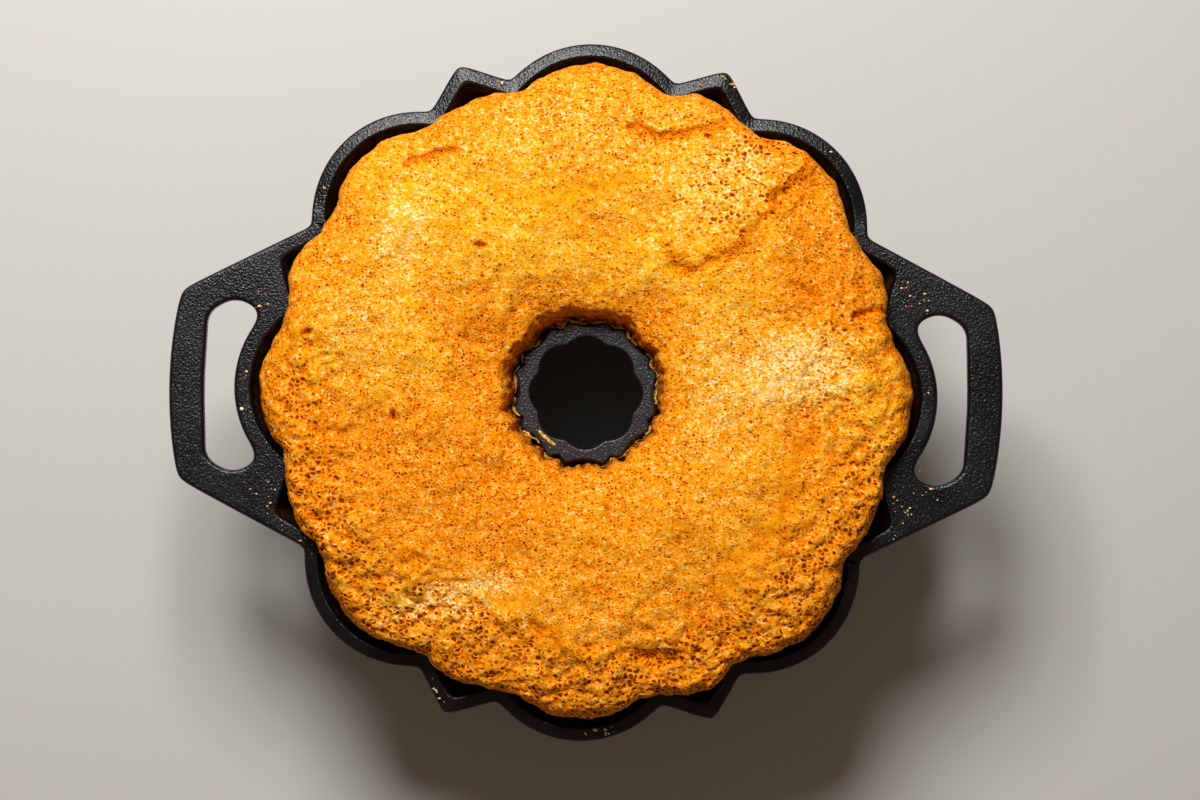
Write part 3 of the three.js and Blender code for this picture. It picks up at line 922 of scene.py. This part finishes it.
def on_iron(x, y):
    """True on the flat top of the rim or of a handle."""
    angle, radius = math.atan2(y, x), math.hypot(x, y)
    on_band = 0.9 < float(outline(angle, 0.0)) - radius < RIM_BAND - 1.2
    along, across = abs(x), abs(y)
    in_gap = GAP_FROM < along < GAP_TO and across < GAP_HALF_WIDTH
    past_rim = along > 112 and float(outline(angle, 1.0)) < radius
    inside_edges = along * SIDE_NORMAL[0] + across * SIDE_NORMAL[1] < SIDE_DISTANCE and along < GRIP_TO
    return on_band or (past_rim and inside_edges and not in_gap)


def add_lump(shape, place, size, rng):
    """A rough lump: an icosphere squashed and pulled about by noise."""
    turn = Matrix.Rotation(rng.uniform(0, 6.28), 4, Vector((rng.random(), rng.random(), rng.random())))
    stretch = Matrix.Diagonal((rng.uniform(0.8, 1.5), rng.uniform(0.7, 1.1), rng.uniform(0.55, 0.85), 1))
    made = bmesh.ops.create_icosphere(shape, subdivisions=2, radius=size / 2 * MM)["verts"]
    offset = Vector((rng.uniform(0, 99), rng.uniform(0, 99), 0))
    for vert in made:
        pull = 1 + 0.55 * noise.noise(vert.co / (size * 0.45 * MM) + offset)
        vert.co = stretch @ turn @ (vert.co * pull)
    low = min(vert.co.z for vert in made)
    bmesh.ops.translate(shape, verts=made, vec=Vector(place) * MM - Vector((0, 0, low)))


rng = random.Random(7)
shape = bmesh.new()
crumb_count = 0
for (drift_x, drift_y), spread, wanted in CRUMB_DRIFTS:
    for _ in range(wanted * 12):
        x, y = rng.gauss(drift_x, spread / 2), rng.gauss(drift_y, spread / 2)
        if wanted and on_iron(x, y):
            add_lump(shape, (x, y, RIM - 0.05), min(1.8, 0.35 + rng.expovariate(3.2)), rng)
            wanted -= 1
            crumb_count += 1
crumb_mesh = bpy.data.meshes.new("crumbs")
shape.to_mesh(crumb_mesh)
shape.free()
crumb_mesh.shade_smooth()
crumbs = new_piece("crumbs", crumb_mesh)
print(crumb_count, "crumbs")

# %% Shreds of crust round the tube


def add_shred(shape, points, widths, thick):
    """A torn strip: a flat ribbon along the points, thicker in the middle."""
    rings = []
    for k, (point, width) in enumerate(zip(points, widths)):
        ahead = (points[min(k + 1, len(points) - 1)] - points[max(k - 1, 0)]).normalized()
        across = ahead.cross(Vector((0.2, 0.1, 1))).normalized() * width / 2
        up = across.cross(ahead).normalized() * thick / 2
        rings.append([shape.verts.new((point + corner) * MM) for corner in (across, up, -across, -up)])
    for one, two in zip(rings, rings[1:]):
        for k in range(4):
            shape.faces.new((one[k], one[(k + 1) % 4], two[(k + 1) % 4], two[k]))
    shape.faces.new(rings[0][::-1])
    shape.faces.new(rings[-1])


SHRED_COUNT = 90
SLIVER_RADIUS, SLIVER_TURNS = 24.6, (3.83, 4.22)  # the one that lies on the tube's top
SLIVER_WIDTHS = [0.9, 2.0, 1.5, 2.3, 1.6, 2.2, 1.4, 1.7, 0.7]
shape = bmesh.new()
for _ in range(SHRED_COUNT):
    start, long = rng.uniform(0, 2 * math.pi), rng.uniform(1.5, 6.0)
    base_height = TUBE_HEIGHT - rng.uniform(0.3, 6.0)
    bits = rng.randint(4, 8)
    points, widths = [], []
    for j in range(bits):
        angle = start + long / 29 * j / (bits - 1)
        iron_edge = TUBE_RADIUS + TUBE_FLUTE_SHARE * float(flute_depth(angle, TUBE_BLEND))
        out = iron_edge + 0.5 + (TUBE_HEIGHT - base_height) * 0.2 + rng.uniform(-0.3, 0.8)
        height = base_height + rng.uniform(-0.7, 0.7)
        points.append(Vector((out * math.cos(angle), out * math.sin(angle), height)))
        widths.append(rng.uniform(0.7, 2.4) * math.sin(math.pi * (j + 0.6) / (bits + 0.2)))
    add_shred(shape, points, widths, rng.uniform(0.4, 0.9))
sliver = [Vector((SLIVER_RADIUS * math.cos(t), SLIVER_RADIUS * math.sin(t), TUBE_HEIGHT + 0.25))
          for t in np.linspace(*SLIVER_TURNS, len(SLIVER_WIDTHS))]
add_shred(shape, sliver, SLIVER_WIDTHS, 0.6)
bmesh.ops.recalc_face_normals(shape, faces=shape.faces)
shred_mesh = bpy.data.meshes.new("crust_shreds")
shape.to_mesh(shred_mesh)
shape.free()
shreds = new_piece("crust_shreds", shred_mesh)
rounded = shreds.modifiers.new("rounded", "SUBSURF")
rounded.levels = rounded.render_levels = 1
print(len(shred_mesh.polygons), "faces in the shreds")

# %% [markdown]
# ## Crumb colours
# A crumb is the same foam torn open, so some are pale inside and some keep their toasted skin. A noise
# that is wider than a crumb gives each one a colour of its own.

# %% Crumb material

crumb_material, tree, shader = new_material("toasted_crumb")
where = add_node(tree, "ShaderNodeTexCoord").outputs["Object"]
own_tone = add_node(tree, "ShaderNodeTexNoise", {"Vector": where, "Scale": per_metre(2.2), "Detail": 2.0})
crumb_grain = add_node(tree, "ShaderNodeTexNoise", {"Vector": where, "Scale": per_metre(0.5), "Detail": 2.0})
crumb_tone = add_node(tree, "ShaderNodeValToRGB", {"Fac": own_tone}, stops=[
    (0.36, linear("#a8560f")), (0.44, linear("#e0a34e")), (0.58, linear("#f7e3bd"))])
bump = add_node(tree, "ShaderNodeBump", {"Height": crumb_grain, "Strength": 0.6, "Distance": 0.2 * MM})
tree.links.new(crumb_tone.outputs["Color"], shader.inputs["Base Color"])
tree.links.new(bump.outputs[0], shader.inputs["Normal"])
shader.inputs["Roughness"].default_value = 0.75
shader.inputs["IOR"].default_value = 1.45
for name, value in (("side_wall", 0.35), ("cream", 0.8)):
    store(shred_mesh, name, np.full(len(shred_mesh.vertices), value))
for piece, material in ((crumbs, crumb_material), (shreds, crust)):
    piece.data.materials.append(material)
    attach(piece, "root")

# %% [markdown]
# ## Floor, light and camera
# The floor is plain and pale so that nothing competes with the object. One large soft light behind
# the pan and above it, like a window, rakes over the crust and leaves the near walls of the hole
# dark. A weak warm sky fills the shadows. The camera looks straight down, turned by the small angle
# at which the pan lies.

# %% Floor and light

floor_mesh = bpy.data.meshes.new("floor")
floor_mesh.from_pydata([(-2, -2, 0), (2, -2, 0), (2, 2, 0), (-2, 2, 0)], [], [(0, 1, 2, 3)])
floor = new_piece("floor", floor_mesh)
floor_material, tree, shader = new_material("pale_floor")
shader.inputs["Base Color"].default_value = linear("#cfccc7")
shader.inputs["Roughness"].default_value = 0.8
floor_mesh.materials.append(floor_material)

window = bpy.data.lights.new("window", "AREA")
window.shape, window.size, window.energy = "DISK", 0.5, 17
window_light = new_piece("window", window)
window_light.location = (-0.18, 0.7, 1.0)
window_light.rotation_euler = (-window_light.location).to_track_quat("-Z", "Y").to_euler()
world = bpy.data.worlds.new("sky")
world.use_nodes = True
world.node_tree.nodes["Background"].inputs["Color"].default_value = linear("#f8dcc0")
world.node_tree.nodes["Background"].inputs["Strength"].default_value = 0.13
bpy.context.scene.world = world
bpy.context.scene.view_settings.view_transform = "Standard"

# %% Camera

CAMERA_ABOVE_RIM = 1.2
VIEW_WIDTH = 0.4886  # of the rim's plane that fits across the picture
PAN_TURN = math.radians(1.25)
camera_data = bpy.data.cameras.new("overhead")
camera_data.sensor_width = 36
camera_data.lens = 36 * CAMERA_ABOVE_RIM / VIEW_WIDTH
camera = new_piece("overhead", camera_data)
camera.location = (0.0058, -0.0028, RIM * MM + CAMERA_ABOVE_RIM)
camera.rotation_euler = (0, 0, PAN_TURN)
bpy.context.scene.camera = camera
